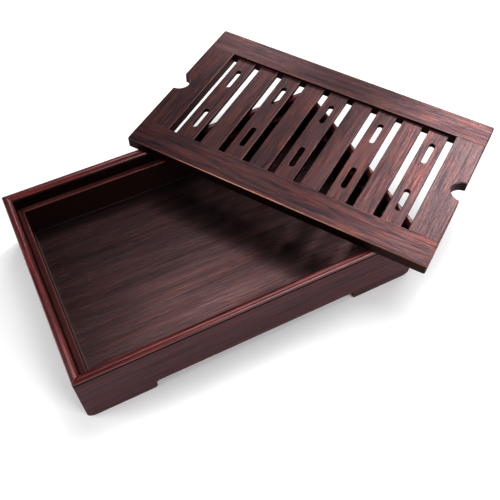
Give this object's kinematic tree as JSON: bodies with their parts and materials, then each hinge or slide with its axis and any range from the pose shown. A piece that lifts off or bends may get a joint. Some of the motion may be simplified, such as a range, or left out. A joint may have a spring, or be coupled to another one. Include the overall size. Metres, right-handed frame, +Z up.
{
  "type": "gongfu tea tray",
  "caption": "Wooden tea tray: a shallow footed box with a moulded rim, and a slatted drain cover that lifts off.",
  "frame": {"origin": "centre of the box's footprint, on the table under the four feet", "axes": "+X along the box's long side, +Y from the front wall to the back wall, +Z up"},
  "size_m": [0.4043, 0.3172, 0.0708],
  "materials": {
    "wall_wood": "satin dark rosewood",
    "rim_wood": "polished dark rosewood",
    "lining_wood": "satin dark rosewood",
    "floor_wood": "satin dark rosewood",
    "cover_wood": "satin dark rosewood",
    "slat_wood": "satin dark rosewood"
  },
  "bodies": {
    "tray": {"front_wall": "wall_wood", "right_wall": "wall_wood", "back_wall": "wall_wood", "left_wall": "wall_wood", "front_rim": "rim_wood", "right_rim": "rim_wood", "back_rim": "rim_wood", "left_rim": "rim_wood", "front_lining": "lining_wood", "right_lining": "lining_wood", "back_lining": "lining_wood", "left_lining": "lining_wood", "floor_panel": "floor_wood"},
    "cover": {"cover_near_rail": "cover_wood", "cover_far_rail": "cover_wood", "cover_left_rail": "cover_wood", "cover_right_rail": "cover_wood", "slat_1": "slat_wood", "slat_2": "slat_wood", "slat_3": "slat_wood", "slat_4": "slat_wood", "slat_5": "slat_wood", "slat_6": "slat_wood", "slat_7": "slat_wood", "slat_8": "slat_wood", "slat_9": "slat_wood"}
  },
  "joints": [
    {"name": "cover_lift", "type": "slide", "parent": "tray", "child": "cover", "axis": [0, 0, 1], "range_m": [0, 0.1]}
  ]
}
